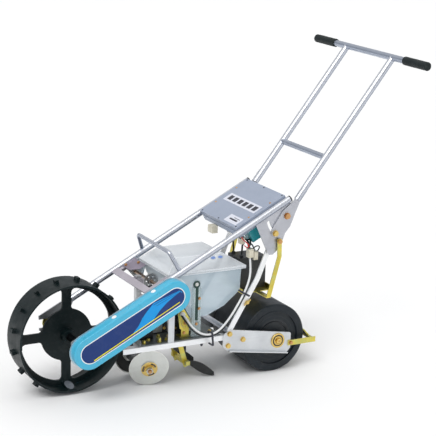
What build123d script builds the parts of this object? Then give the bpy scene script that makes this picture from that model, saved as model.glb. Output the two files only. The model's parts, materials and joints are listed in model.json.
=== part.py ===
from build123d import *
import os
from math import atan2, cos, degrees, hypot, pi, radians, sin, tan

# One-row push seeder. +Z up, the front wheel towards -X, the handle towards +X.
# The left side, with the chain case, is -Y. Origin: middle of the outline, on the floor.
# Side views are drawn in x and z, with x measured from below the front axle.

# ---- driving dimensions (mm) ----
TREAD_R = 155.0           # front wheel tread radius
LUG_H = 11.0              # lug height over the tread
LUG_W = 10.0              # lug length along the tread
LUG_COUNT = 16
RIM_HALF = 48.5           # half the width of the front rim
ROLLER_R = 102.0          # press roller radius
ROLLER_HALF = 94.0        # half the width of the press roller
FRAME_Y = 120.0           # axis of the frame tubes and uprights, from the middle plane
TUBE_R = 9.5
TUBE_BORE = 8.0
TUBE_SLOPE = 27.8         # degrees
HANDLE_SLOPE = 52.6       # degrees
HANDLE_X = 554.0          # T-bar axis, from the origin
GRIP_R = 12.5
TBAR_HALF = 291.0
GRIP_LENGTH = 110.0
RAIL_TOP = 140.0          # top of the lower rails
RAIL_Y = 113.0            # outer face of the lower rails
HANGER_Y = 110.0          # outer face of the shaft hangers
FIT = 0.05                # radial clearance of a turning fit
AXLE_R = 7.5
SHAFT_R = 5.0
CASE_R = 46.0             # end radius of the chain case
CASE_BACK = 132.0         # outer face of the chain case's back plate
CASE_FACE = 158.0         # outer face of the chain case
CASE_DROP = 4.0           # the case hangs this far below the sprocket line
SPROCKET_TEETH = 14
CHAIN_PITCH = 12.7
DISC_R = 57.0             # opener disc radius
HOPPER_HALF = 90.0        # half the width of the seed hopper
RIM_Z = 332.0             # hopper rim height
SHEET = 2.0               # wall of the plastic mouldings

# ---- places worked out from them ----
LUG_TIP = TREAD_R + LUG_H
HALF_STEP = radians(180 / LUG_COUNT)
AXLE_Z = LUG_TIP * cos(HALF_STEP) + LUG_W / 2 * sin(HALF_STEP)
AXLE_X = LUG_TIP - HANDLE_X - GRIP_R
SHAFT_X = 253.0
SHAFT_Z = AXLE_Z + 128.0
ROLLER_X = 611.0
PIVOT_X = 620.0
PIVOT_Z = 477.0
TUBE_Z0 = 193.7           # height of the frame tubes' axis over the front axle
TUBE_START = 62.0
TUBE_END = 628.0
UP = (sin(radians(HANDLE_SLOPE)), cos(radians(HANDLE_SLOPE)))
HANDLE_LENGTH = (HANDLE_X - AXLE_X - PIVOT_X) / UP[1]
HANDLE_Z = PIVOT_Z + HANDLE_LENGTH * UP[0]
SPROCKET_R = CHAIN_PITCH / (2 * sin(pi / SPROCKET_TEETH))
CASE_SLOPE = degrees(atan2(SHAFT_Z - AXLE_Z, SHAFT_X))
CASE_LENGTH = hypot(SHAFT_X, SHAFT_Z - AXLE_Z)
SIDES = ((-1, "left"), (1, "right"))

os.makedirs("parts", exist_ok=True)


def save(piece, name, aside=0.0):
    """Label a finished piece and write its STEP file, moved aside along Y if asked."""
    solid = piece.part.moved(Location((0, aside, 0)))
    solid.label = name
    export_step(solid, f"parts/{name}.step")


def tube_z(x):
    """Height of the frame tubes' axis at x."""
    return TUBE_Z0 + x * tan(radians(TUBE_SLOPE))


def side_plane(y):
    """A side view at y: its own x and y are x from the front axle and z."""
    return Plane(origin=(AXLE_X, y, 0), x_dir=(1, 0, 0), z_dir=(0, -1, 0))


def run_plane(x, y, z, slope):
    """A plane across a member that rises towards +X at the slope given."""
    rise = radians(slope)
    return Plane(origin=(AXLE_X + x, y, z), x_dir=(0, 1, 0), z_dir=(cos(rise), 0, sin(rise)))


def slope_plane(x, z, slope):
    """A plane lying on a slope: x runs up the slope and y is world Y."""
    rise = radians(slope)
    return Plane(
        origin=(AXLE_X + x, 0, z),
        x_dir=(cos(rise), 0, sin(rise)),
        z_dir=(-sin(rise), 0, cos(rise)),
    )


def upright_point(along, out=0.0):
    """A side view point on the handle, along it from the pivot and out above it."""
    return (PIVOT_X + along * UP[1] - out * UP[0], PIVOT_Z + along * UP[0] + out * UP[1])


def plate(side, inner, thick, points, mode=Mode.ADD):
    """A flat side plate, grown outwards from its inner face."""
    with BuildSketch(side_plane(side * inner)) as profile:
        with BuildLine() as outline:
            Polyline(*points, close=True)
        make_face(outline.edges())
    extrude(profile.sketch, amount=thick, dir=(0, side, 0), mode=mode)


def across(half, points, mode=Mode.ADD):
    """A profile drawn in the side view and run across, half to each side."""
    with BuildSketch(side_plane(half)) as profile:
        with BuildLine() as outline:
            Polyline(*points, close=True)
        make_face(outline.edges())
    extrude(profile.sketch, amount=2 * half, dir=(0, -1, 0), mode=mode)


def round_bar(x, z, start, end, radius, bore=0.0, mode=Mode.ADD):
    """A cylinder or tube along Y, from start to end."""
    with BuildSketch(side_plane(start)) as profile:
        with Locations((x, z)):
            Circle(radius)
            if bore:
                Circle(bore, mode=Mode.SUBTRACT)
    extrude(profile.sketch, amount=abs(end - start), dir=(0, 1 if end > start else -1, 0), mode=mode)


def hex_head(side, face, x, z, across_flats, height, washer=1.3):
    """A bolt head or nut on its washer, outwards from a side face."""
    round_bar(x, z, side * face, side * (face + 1.2), across_flats / 2 * washer)
    with BuildSketch(side_plane(side * (face + 1.2))) as profile:
        with Locations((x, z)):
            RegularPolygon(across_flats / 2, 6, major_radius=False)
    extrude(profile.sketch, amount=height, dir=(0, side, 0))


def straight_tube(x, y, z, slope, length, radius, bore):
    """A tube that rises towards +X."""
    with BuildSketch(run_plane(x, y, z, slope)) as profile:
        Circle(radius)
        if bore:
            Circle(bore, mode=Mode.SUBTRACT)
    extrude(profile.sketch, amount=length)


def angled_slot(x, z, length, radius, slope):
    """An obround in a side view, its two end centres length apart."""
    with Locations(Location((x, z), slope)):
        with Locations((length / 2, 0)):
            SlotCenterToCenter(length, 2 * radius)


# ==== front wheel ====
DISC_HALF = 3.0
WINDOW_R = 135.0
HUB_R = 75.0
SPOKE_W = 27.0
WHEEL_ASIDE = 8.0         # the wheel stands this far to the right, clear of the chain case

with BuildPart() as front_wheel_rim:
    round_bar(0, AXLE_Z, -RIM_HALF, RIM_HALF, TREAD_R, TREAD_R - 5)
    with BuildSketch(side_plane(DISC_HALF)):
        with Locations((0, AXLE_Z)):
            Circle(TREAD_R - 4)
            Circle(WINDOW_R, mode=Mode.SUBTRACT)
            Circle(HUB_R)
            Rectangle(2 * WINDOW_R + 4, SPOKE_W)
            Rectangle(SPOKE_W, 2 * WINDOW_R + 4)
            Circle(11, mode=Mode.SUBTRACT)
    extrude(amount=2 * DISC_HALF)
    window_corners = [
        edge
        for edge in front_wheel_rim.edges().filter_by(Axis.Y)
        if 60 < hypot(edge.center().X - AXLE_X, edge.center().Z - AXLE_Z) < 145
    ]
    fillet(window_corners, 12)
    round_bar(0, AXLE_Z, -26, 26, 20, 11)
    with BuildSketch(side_plane(10)):
        with Locations((0, AXLE_Z)):
            with PolarLocations(TREAD_R + LUG_H / 2 - 0.5, LUG_COUNT, start_angle=degrees(HALF_STEP)):
                Rectangle(LUG_H + 1, LUG_W)
    extrude(amount=20)
    # Wedges brace each spoke's foot against the near half of the rim.
    for turn in (0, pi / 2, pi, 3 * pi / 2):
        foot_plane = Plane(
            origin=(AXLE_X, 0, AXLE_Z),
            x_dir=(0, -1, 0),
            z_dir=(-sin(turn), 0, cos(turn)),
        )
        with BuildSketch(foot_plane):
            with BuildLine():
                Polyline(
                    (DISC_HALF - 1, WINDOW_R + 1),
                    (DISC_HALF - 1, TREAD_R - 4),
                    (RIM_HALF - 2, TREAD_R - 4),
                    (RIM_HALF - 2, TREAD_R - 8),
                    close=True,
                )
            make_face()
        extrude(amount=13, both=True)
save(front_wheel_rim, "front_wheel_rim", WHEEL_ASIDE)

with BuildPart() as front_axle:
    round_bar(0, AXLE_Z, -147, 131, AXLE_R)
save(front_axle, "front_axle")

# The hub sleeve, the spacers beside it and the nut on the right end.
with BuildPart() as axle_fittings:
    round_bar(0, AXLE_Z, WHEEL_ASIDE - 30, WHEEL_ASIDE + 30, 11, AXLE_R)
    for side, _ in SIDES:
        round_bar(0, AXLE_Z, side * 30.2 + WHEEL_ASIDE, side * 117.4, 10.5, AXLE_R)
    with BuildSketch(side_plane(125.5)):
        with Locations((0, AXLE_Z)):
            RegularPolygon(11, 6, major_radius=False)
            Circle(AXLE_R, mode=Mode.SUBTRACT)
    extrude(amount=5, dir=(0, 1, 0))
save(axle_fittings, "axle_fittings")

# Flanged bearings that sit in the open slots of the fork plates.
with BuildPart() as front_bearings:
    for side, _ in SIDES:
        round_bar(0, AXLE_Z, side * 118, side * 122, 12.8, AXLE_R + FIT)
        round_bar(0, AXLE_Z, side * 122, side * 125, 24.5, AXLE_R + FIT)
save(front_bearings, "front_bearings")

# ==== main frame ====
ALONG = (cos(radians(TUBE_SLOPE)), sin(radians(TUBE_SLOPE)))
TAB = 45.0                # length of the fork plate inside its tube


def beside_tube(x, along, out):
    """A side view point beside the frame tube's axis point at x."""
    return (
        x + along * ALONG[0] - out * ALONG[1],
        tube_z(x) + along * ALONG[1] + out * ALONG[0],
    )


TAB_POINTS = [
    beside_tube(TUBE_START, 0, TUBE_R),
    beside_tube(TUBE_START, TAB, TUBE_R),
    beside_tube(TUBE_START, TAB, -TUBE_R),
    beside_tube(TUBE_START, 0, -TUBE_R),
]
TUBE_LENGTH = (TUBE_END - TUBE_START) / ALONG[0]

with BuildPart() as upper_tubes:
    for side, _ in SIDES:
        straight_tube(
            TUBE_START, side * FRAME_Y, tube_z(TUBE_START), TUBE_SLOPE, TUBE_LENGTH, TUBE_R, TUBE_BORE
        )
        plate(side, FRAME_Y - 2, 4, TAB_POINTS, mode=Mode.SUBTRACT)
save(upper_tubes, "upper_tubes")

with BuildPart() as fork_plates:
    for side, _ in SIDES:
        plate(
            side,
            FRAME_Y - 2,
            4,
            [(-38, 187), (30, 222)]
            + TAB_POINTS
            + [(54, 186), (30, 150), (-26, 139), (-36, 144)],
        )
        with BuildSketch(side_plane(side * (FRAME_Y - 3))):
            with Locations((6, AXLE_Z)):
                Circle(13)
            with Locations((-20, AXLE_Z)):
                Rectangle(52, 26)
        extrude(amount=6, dir=(0, side, 0), mode=Mode.SUBTRACT)
save(fork_plates, "fork_plates")

with BuildPart() as tube_caps:
    for side, _ in SIDES:
        cap_x, cap_z = beside_tube(TUBE_END, 0, 0)
        straight_tube(cap_x, side * FRAME_Y, cap_z, TUBE_SLOPE, 4, TUBE_R, 0)
        start_x, start_z = beside_tube(TUBE_END, -14, 0)
        straight_tube(start_x, side * FRAME_Y, start_z, TUBE_SLOPE, 14, TUBE_BORE - 0.05, 0)
save(tube_caps, "tube_caps")

with BuildPart() as shaft_hangers:
    for side, _ in SIDES:
        plate(
            side,
            HANGER_Y - 3,
            3,
            [
                (222, 306),
                (272, 330),
                (288, 299),
                (283, 280),
                (277, 268),
                (277, RAIL_TOP),
                (258, RAIL_TOP),
                (258, 268),
            ],
        )
        round_bar(SHAFT_X, SHAFT_Z, side * (HANGER_Y - 4), side * (HANGER_Y + 1), 9, mode=Mode.SUBTRACT)
save(shaft_hangers, "shaft_hangers")

with BuildPart() as lower_rails:
    for side, _ in SIDES:
        for depth, thick, drop, end in ((3, 3, 15, 474), (22, 20, 3, 440)):
            plate(
                side,
                RAIL_Y - depth,
                thick,
                [(120, RAIL_TOP - drop), (end, RAIL_TOP - drop), (end, RAIL_TOP), (120, RAIL_TOP)],
            )
save(lower_rails, "lower_rails")

# The seeding frame: a front cross bar, a side angle along each tube and the post's guide.
CROSS_X = 200.0
POST_X = 214.0
POST_HALF = 8.0
with BuildPart() as seeding_frame:
    cross_z = tube_z(CROSS_X)
    across(
        HANGER_Y,
        [
            (CROSS_X, cross_z + 8),
            (CROSS_X - 18, cross_z - 2),
            (CROSS_X - 18, cross_z - 5),
            (CROSS_X - 3, cross_z + 3),
            (CROSS_X - 3, cross_z - 16),
            (CROSS_X, cross_z - 16),
        ],
    )
    for side, _ in SIDES:
        plate(
            side,
            HANGER_Y - 17.5,
            14,
            [
                beside_tube(204, -7, -1),
                beside_tube(204, 58, -1),
                beside_tube(204, 58, 2),
                beside_tube(204, -7, 2),
            ],
        )
        plate(
            side,
            HANGER_Y - 6.5,
            3,
            [
                beside_tube(204, -7, -12),
                beside_tube(204, 58, -12),
                beside_tube(204, 58, 2),
                beside_tube(204, -7, 2),
            ],
        )
    across(13, [(CROSS_X, 285), (POST_X + 12, 285), (POST_X + 12, 305), (CROSS_X, 305)])
    across(
        POST_HALF + 0.3,
        [
            (POST_X - POST_HALF - 0.3, 280),
            (POST_X + POST_HALF + 0.3, 280),
            (POST_X + POST_HALF + 0.3, 310),
            (POST_X - POST_HALF - 0.3, 310),
        ],
        Mode.SUBTRACT,
    )
save(seeding_frame, "seeding_frame")

REAR_CROSS_X = 452.0
with BuildPart() as rear_cross_tube:
    round_bar(REAR_CROSS_X, 150.0, -RAIL_Y + 4, RAIL_Y - 4, 8, 6.5)
save(rear_cross_tube, "rear_cross_tube")

with BuildPart() as base_plate:
    with BuildSketch(Plane.XY.offset(RAIL_TOP)):
        with Locations((AXLE_X + 352, 0)):
            Rectangle(148, 2 * (RAIL_Y - 4))
        with Locations((AXLE_X + 352, 0)):
            Rectangle(24, 60, mode=Mode.SUBTRACT)
    extrude(amount=2.5)
save(base_plate, "base_plate")

# ==== chain drive ====
def case_centre(along, out=0.0):
    """A side view point along the sprocket line, dropped with the case."""
    rise = radians(CASE_SLOPE)
    drop = out - CASE_DROP
    return (along * cos(rise) - drop * sin(rise), AXLE_Z + along * sin(rise) + drop * cos(rise))


with BuildPart() as chain_case_back:
    with BuildSketch(side_plane(-CASE_BACK + 1.5)):
        angled_slot(*case_centre(0), CASE_LENGTH, CASE_R + 4, CASE_SLOPE)
        with Locations((0, AXLE_Z)):
            Circle(14, mode=Mode.SUBTRACT)
        with Locations((SHAFT_X, SHAFT_Z)):
            Circle(9, mode=Mode.SUBTRACT)
    extrude(amount=1.5)
save(chain_case_back, "chain_case_back")

with BuildPart() as chain_cover:
    with BuildSketch(side_plane(-CASE_BACK)):
        angled_slot(*case_centre(0), CASE_LENGTH, CASE_R, CASE_SLOPE)
    extrude(amount=CASE_FACE - CASE_BACK)
    outer_rim = chain_cover.faces().sort_by(Axis.Y)[0].edges()
    fillet(outer_rim, 3)
    with BuildSketch(side_plane(-CASE_BACK)):
        angled_slot(*case_centre(0), CASE_LENGTH, CASE_R - SHEET, CASE_SLOPE)
    extrude(amount=CASE_FACE - CASE_BACK - SHEET, mode=Mode.SUBTRACT)
save(chain_cover, "chain_cover")

def sprocket(x, z):
    """A chain sprocket in its place on the left side."""
    round_bar(x, z, -142.5, -139.5, SPROCKET_R - 4)
    with BuildSketch(side_plane(-139.5)) as teeth:
        with Locations((x, z)):
            with PolarLocations(SPROCKET_R - 2, SPROCKET_TEETH):
                Trapezoid(6.5, 7.5, 75, rotation=-90)
    extrude(teeth.sketch, amount=3)


with BuildPart() as front_sprocket:
    sprocket(0, AXLE_Z)
    round_bar(0, AXLE_Z, -146, -134, 14)
    round_bar(0, AXLE_Z, -147, -133, AXLE_R, mode=Mode.SUBTRACT)
save(front_sprocket, "front_sprocket")

with BuildPart() as shaft_sprocket:
    sprocket(SHAFT_X, SHAFT_Z)
    round_bar(SHAFT_X, SHAFT_Z, -146, -134, 11)
    round_bar(SHAFT_X, SHAFT_Z, -147, -133, SHAFT_R, mode=Mode.SUBTRACT)
save(shaft_sprocket, "shaft_sprocket")

CHAIN_IN = SPROCKET_R + 4.2
with BuildPart() as drive_chain:
    with BuildSketch(side_plane(-137.5)):
        angled_slot(0, AXLE_Z, CASE_LENGTH, CHAIN_IN + 5.5, CASE_SLOPE)
    extrude(amount=7)
    with BuildSketch(side_plane(-137)):
        angled_slot(0, AXLE_Z, CASE_LENGTH, CHAIN_IN, CASE_SLOPE)
    extrude(amount=8, mode=Mode.SUBTRACT)
save(drive_chain, "drive_chain")

with BuildPart() as meter_shaft:
    round_bar(SHAFT_X, SHAFT_Z, -147, 118, SHAFT_R)
save(meter_shaft, "meter_shaft")

with BuildPart() as shaft_bushes:
    for side, _ in SIDES:
        round_bar(SHAFT_X, SHAFT_Z, side * (HANGER_Y - 3), side * HANGER_Y, 9, SHAFT_R + FIT)
        round_bar(SHAFT_X, SHAFT_Z, side * (HANGER_Y - 6), side * (HANGER_Y - 3), 12, SHAFT_R + FIT)
save(shaft_bushes, "shaft_bushes")

PULSE_TEETH = 40
with BuildPart() as pulse_wheel:
    round_bar(SHAFT_X, SHAFT_Z, -3, -1, 20.5)
    with BuildSketch(side_plane(-1)):
        with Locations((SHAFT_X, SHAFT_Z)):
            with PolarLocations(21.3, PULSE_TEETH):
                Rectangle(3.6, 1.7)
    extrude(amount=2)
    with BuildSketch(side_plane(0)):
        with Locations((SHAFT_X, SHAFT_Z)):
            with PolarLocations(13.5, 6):
                Circle(2.2)
    extrude(amount=4, mode=Mode.SUBTRACT)
    round_bar(SHAFT_X, SHAFT_Z, -8, 5, 8.5)
    round_bar(SHAFT_X, SHAFT_Z, -9, 6, SHAFT_R, mode=Mode.SUBTRACT)
save(pulse_wheel, "pulse_wheel")

with BuildPart() as pulse_sensor:
    plate(1, -10, 16, [(243, 244), (263, 244), (263, 277), (243, 277)])
    plate(1, -4.5, 5, [(242, 260), (264, 260), (264, 278), (242, 278)], mode=Mode.SUBTRACT)
save(pulse_sensor, "pulse_sensor")

# ==== carrying rail ====
RAIL_FOOT = (283.0, FRAME_Y, 352.0)
RAIL_CORNER = (259.5, 100.0, 402.0)
with BuildPart() as grab_rail:
    with BuildLine() as grab_path:
        FilletPolyline(
            (AXLE_X + RAIL_FOOT[0], -RAIL_FOOT[1], RAIL_FOOT[2]),
            (AXLE_X + RAIL_CORNER[0], -RAIL_CORNER[1], RAIL_CORNER[2]),
            (AXLE_X + RAIL_CORNER[0], RAIL_CORNER[1], RAIL_CORNER[2]),
            (AXLE_X + RAIL_FOOT[0], RAIL_FOOT[1], RAIL_FOOT[2]),
            radius=16,
        )
    with BuildSketch(Plane(grab_path.line @ 0, z_dir=grab_path.line % 0)):
        Circle(5.5)
    sweep()
    for side, _ in SIDES:
        with BuildSketch(run_plane(200, side * FRAME_Y, tube_z(200), TUBE_SLOPE)):
            Circle(TUBE_R)
        extrude(amount=160, mode=Mode.SUBTRACT)
save(grab_rail, "grab_rail")

# ==== seed hopper ====
HOPPER_SIDE = [
    (266, RIM_Z),
    (286, 286),
    (338, 198),
    (388, 198),
    (444, 222),
    (493, 262),
    (496, RIM_Z),
]
with BuildPart() as hopper_body:
    across(HOPPER_HALF, HOPPER_SIDE)
    with BuildSketch(side_plane(HOPPER_HALF - SHEET)):
        with BuildLine():
            Polyline(*HOPPER_SIDE, close=True)
        make_face()
        offset(amount=-SHEET, kind=Kind.INTERSECTION, mode=Mode.REPLACE)
    extrude(amount=2 * (HOPPER_HALF - SHEET), mode=Mode.SUBTRACT)
    across(
        HOPPER_HALF - SHEET,
        [(269, RIM_Z - 3), (494, RIM_Z - 3), (494, RIM_Z + 1), (268, RIM_Z + 1)],
        Mode.SUBTRACT,
    )
    with BuildSketch(Plane.XY.offset(190)):
        with Locations((AXLE_X + 363, 0)):
            Rectangle(34, 44)
    extrude(amount=16, mode=Mode.SUBTRACT)
save(hopper_body, "hopper_body")

LID_X = 386.0
LID_LONG = 248.0
LID_WIDE = 187.0


def lid_stage(height, shrink):
    """One level of the hipped lid, shrunk all round by its wall."""
    blend = (height - RIM_Z - 3) / 36.0
    with BuildSketch(Plane.XY.offset(height)) as level:
        with Locations((AXLE_X + LID_X - 11 * blend, 0)):
            Rectangle(LID_LONG - 104 * blend - 2 * shrink, LID_WIDE - 67 * blend - 2 * shrink)
    return level.sketch


with BuildPart() as hopper_lid:
    with BuildSketch(Plane.XY.offset(RIM_Z - 6)):
        with Locations((AXLE_X + LID_X, 0)):
            Rectangle(LID_LONG, LID_WIDE)
    extrude(amount=9)
    with BuildSketch(Plane.XY.offset(RIM_Z - 6)):
        with Locations((AXLE_X + LID_X, 0)):
            Rectangle(LID_LONG - 3, LID_WIDE - 3)
    extrude(amount=7, mode=Mode.SUBTRACT)
    loft([lid_stage(RIM_Z + 3, 0), lid_stage(RIM_Z + 39, 0)])
    loft([lid_stage(RIM_Z + 1, SHEET), lid_stage(RIM_Z + 37, SHEET)], mode=Mode.SUBTRACT)
save(hopper_lid, "hopper_lid")

# The outlet shutter: a blade in a channel on the hopper's left wall, with a finger ring.
SHUTTER_X = 353.0
with BuildPart() as shutter_guide:
    plate(
        -1,
        HOPPER_HALF,
        6,
        [
            (SHUTTER_X - 14, RAIL_TOP + 2.5),
            (SHUTTER_X + 14, RAIL_TOP + 2.5),
            (SHUTTER_X + 14, 286),
            (SHUTTER_X - 14, 286),
        ],
    )
    for depth, half, foot in ((1.5, 8.5, 187), (4, 5, 187)):
        plate(
            -1,
            HOPPER_HALF + depth,
            3,
            [
                (SHUTTER_X - half, foot),
                (SHUTTER_X + half, foot),
                (SHUTTER_X + half, 290),
                (SHUTTER_X - half, 290),
            ],
            Mode.SUBTRACT,
        )
save(shutter_guide, "shutter_guide")

with BuildPart() as shutter:
    plate(
        -1,
        HOPPER_HALF + 2,
        2,
        [(SHUTTER_X - 8, 190), (SHUTTER_X + 8, 190), (SHUTTER_X + 8, 286), (SHUTTER_X - 8, 286)],
    )
    round_bar(SHUTTER_X, 296, -(HOPPER_HALF + 4), -(HOPPER_HALF + 2), 10.5, 5.5)
save(shutter, "shutter")

# ==== metering unit ====
ROLL_X = 352.0
ROLL_Z = 172.0
with BuildPart() as meter_housing:
    across(30, [(232, 142.5), (386, 142.5), (386, 194), (332, 194), (300, 244), (232, 244)])
    across(28, [(234, 144.5), (384, 144.5), (384, 195), (331, 192), (299, 242), (234, 242)], Mode.SUBTRACT)
    round_bar(ROLL_X, ROLL_Z, -31, 31, 5 + FIT, mode=Mode.SUBTRACT)
    with BuildSketch(Plane.XY.offset(140)):
        with Locations((AXLE_X + 352, 0)):
            Rectangle(20, 30)
    extrude(amount=20, mode=Mode.SUBTRACT)
save(meter_housing, "meter_housing")

def gear(x, z, start, width, teeth, module):
    """A spur gear with plain trapezoid teeth."""
    pitch = teeth * module / 2
    round_bar(x, z, start, start + width, pitch - module)
    with BuildSketch(side_plane(start + width)) as ring:
        with Locations((x, z)):
            with PolarLocations(pitch - 0.1 * module, teeth):
                Trapezoid(1.9 * module, 1.9 * module, 72, rotation=-90)
    extrude(ring.sketch, amount=width)


GEAR_MODULE = 1.25
ROLL_TEETH = 32
PINION_TEETH = 16
GEAR_GAP = 0.6            # the teeth stand this far clear of each other's mesh
GEAR_CENTRES = (ROLL_TEETH + PINION_TEETH + 4) * GEAR_MODULE / 2 + GEAR_GAP
MOTOR_X = ROLL_X - GEAR_CENTRES * cos(radians(25))
MOTOR_Z = ROLL_Z + GEAR_CENTRES * sin(radians(25))

with BuildPart() as seed_roll:
    round_bar(ROLL_X, ROLL_Z, -27, 27, 16)
    with BuildSketch(side_plane(20)):
        with Locations((ROLL_X, ROLL_Z)):
            with PolarLocations(16, 8):
                Circle(3)
    extrude(amount=40, mode=Mode.SUBTRACT)
    round_bar(ROLL_X, ROLL_Z, -70, 36, 5)
    gear(ROLL_X, ROLL_Z, -68, 6, ROLL_TEETH, GEAR_MODULE)
save(seed_roll, "seed_roll")

with BuildPart() as motor_pinion:
    gear(MOTOR_X, MOTOR_Z, -68, 6, PINION_TEETH, GEAR_MODULE)
    round_bar(MOTOR_X, MOTOR_Z, -71, -60, 3)
save(motor_pinion, "motor_pinion")

GLAND_X = MOTOR_X - 12
GLAND_Z = 213.0
with BuildPart() as motor_bracket:
    with BuildSketch(side_plane(-86)):
        with BuildLine():
            Polyline(
                (MOTOR_X - 17, 168),
                (MOTOR_X + 18, 168),
                (MOTOR_X + 14, 195),
                (MOTOR_X - 5, 226),
                (MOTOR_X - 25, 226),
                close=True,
            )
        make_face()
        fillet(vertices(), 4)
    extrude(amount=2.5)
    round_bar(GLAND_X, GLAND_Z, -90, -80, 4, mode=Mode.SUBTRACT)
    round_bar(MOTOR_X, MOTOR_Z, -90, -80, 14.1, mode=Mode.SUBTRACT)
    plate(
        -1,
        62,
        26.5,
        [
            (MOTOR_X - 15, RAIL_TOP + 2.5),
            (MOTOR_X + 15, RAIL_TOP + 2.5),
            (MOTOR_X + 15, RAIL_TOP + 5),
            (MOTOR_X - 15, RAIL_TOP + 5),
        ],
    )
    plate(
        -1,
        86,
        2.5,
        [
            (MOTOR_X - 12, RAIL_TOP + 2.5),
            (MOTOR_X + 12, RAIL_TOP + 2.5),
            (MOTOR_X + 12, 172.5),
            (MOTOR_X - 12, 172.5),
        ],
    )
    round_bar(MOTOR_X, MOTOR_Z, -90, -80, 14.1, mode=Mode.SUBTRACT)
save(motor_bracket, "motor_bracket")

# The gear motor between the bracket and its pinion, with the cable gland outside.
with BuildPart() as meter_motor:
    round_bar(MOTOR_X, MOTOR_Z, -88.5, -71, 14)
    round_bar(GLAND_X, GLAND_Z, -98, -88.5, 6.5)
    round_bar(GLAND_X, GLAND_Z, -88.5, -84, 4)
    round_bar(MOTOR_X, MOTOR_Z, -72, -70.5, 3 + FIT, mode=Mode.SUBTRACT)
save(meter_motor, "meter_motor")

with BuildPart() as seed_tube:
    with BuildSketch(Plane.XY.offset(68)):
        with Locations((AXLE_X + 352, 0)):
            Rectangle(24, 34)
            Rectangle(20, 30, mode=Mode.SUBTRACT)
    extrude(amount=74.4)
save(seed_tube, "seed_tube")

# ==== control box, battery and wiring ====
BOX_LONG = 176.0
BOX_WIDE = 219.0
BOX_DEEP = 34.0
box_plane = slope_plane(463, 452.3, TUBE_SLOPE)


def box_block(top, bottom, inset, mode=Mode.ADD):
    """A block of the control box, between two depths below its lid."""
    with BuildSketch(box_plane.offset(-top)) as outline:
        with Locations((BOX_LONG / 2, 0)):
            Rectangle(BOX_LONG - 2 * inset, BOX_WIDE - 2 * inset)
    extrude(outline.sketch, amount=top - bottom, mode=mode)


with BuildPart() as control_box_lid:
    box_block(0, 11, 0)
    box_block(1.2, 12, 1.2, Mode.SUBTRACT)
save(control_box_lid, "control_box_lid")

with BuildPart() as control_box_case:
    box_block(1.4, BOX_DEEP, 1.4)
    box_block(1, BOX_DEEP - 1.2, 2.6, Mode.SUBTRACT)
save(control_box_case, "control_box_case")

with BuildPart() as relay_box:
    with BuildSketch(box_plane.offset(-BOX_DEEP)):
        with Locations((54, -70)):
            Rectangle(36, 44)
    extrude(amount=-45)
save(relay_box, "relay_box")

BATTERY_X = 565.0
TRAY_Z = 242.0
with BuildPart() as battery:
    with BuildSketch(Plane.XY.offset(TRAY_Z)):
        with Locations((AXLE_X + BATTERY_X, 0)):
            Rectangle(90, 70)
    extrude(amount=95)
    fillet(battery.edges().filter_by(Axis.Z), 2)
    with BuildSketch(Plane.XY.offset(TRAY_Z + 95)):
        with Locations((AXLE_X + BATTERY_X - 32, -24), (AXLE_X + BATTERY_X - 32, 24)):
            Rectangle(8, 7)
    extrude(amount=6)
save(battery, "battery")

STRAP_Y = 125.6
with BuildPart() as battery_tray:
    with BuildSketch(Plane.XY.offset(TRAY_Z - 2)):
        with Locations((AXLE_X + BATTERY_X, 0)):
            Rectangle(100, 130)
    extrude(amount=14)
    with BuildSketch(Plane.XY.offset(TRAY_Z)):
        with Locations((AXLE_X + BATTERY_X, 0)):
            Rectangle(96, 140)
    extrude(amount=14, mode=Mode.SUBTRACT)
    for side, _ in SIDES:
        plate(
            side,
            STRAP_Y,
            2.5,
            [(590, 412), (604, 412), (606, 360), (575, TRAY_Z - 2), (560, TRAY_Z - 2), (592, 360)],
        )
        plate(
            side,
            64,
            STRAP_Y + 2.5 - 64,
            [(560, TRAY_Z - 2), (575, TRAY_Z - 2), (575, TRAY_Z), (560, TRAY_Z)],
        )
        round_bar(597, 405, side * (STRAP_Y - 1), side * (STRAP_Y + 4), 4, mode=Mode.SUBTRACT)
save(battery_tray, "battery_tray")

with BuildPart() as wire_connectors:
    for x, y, z, long, wide, tall in (
        (520.5, -94, 358, 15, 17, 25),
        (538, -90, 349, 14, 18, 24),
        (497, -84, 398, 14, 16, 18),
        (466, 32, 405, 18, 28, 21),
    ):
        with BuildSketch(Plane.XY.offset(z)):
            with Locations((AXLE_X + x, y)):
                Rectangle(long, wide)
        extrude(amount=tall)
save(wire_connectors, "wire_connectors")

# The motor's two leads, clipped along the left strut on their way to the connectors.
LEAD_ROUTE = [
    (GLAND_X, -98, GLAND_Z),
    (GLAND_X + 3, -116, 203),
    (329, -125, 178),
    (356, -127, 158),
    (384, -127, 153),
    (410, -127, 162),
    (434, -126, 183),
    (453, -126, 207),
    (470, -125, 232),
    (486, -123, 256),
    (501, -119, 280),
    (513, -112, 304),
    (519, -104, 330),
    (520, -96, 358),
]


def lead_path(gap, inward):
    """The route of one lead, set beside the first by the gap given."""
    corners = []
    last = len(LEAD_ROUTE) - 1
    for k, (x, y, z) in enumerate(LEAD_ROUTE):
        before = LEAD_ROUTE[max(k - 1, 0)]
        after = LEAD_ROUTE[min(k + 1, last)]
        run_x = after[0] - before[0]
        run_z = after[2] - before[2]
        aside = gap / hypot(run_x, run_z)
        corners.append(Vector(AXLE_X + x + run_z * aside, y + inward * k / last, z - run_x * aside))
    bends = []
    for before, here, after in zip(corners, corners[1:], corners[2:]):
        turn = radians((here - before).get_angle(after - here))
        bends.append(0.45 * min((here - before).length, (after - here).length) / tan(turn / 2))
    print("lead bend radii", [round(bend, 1) for bend in bends])
    return corners, bends


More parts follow.
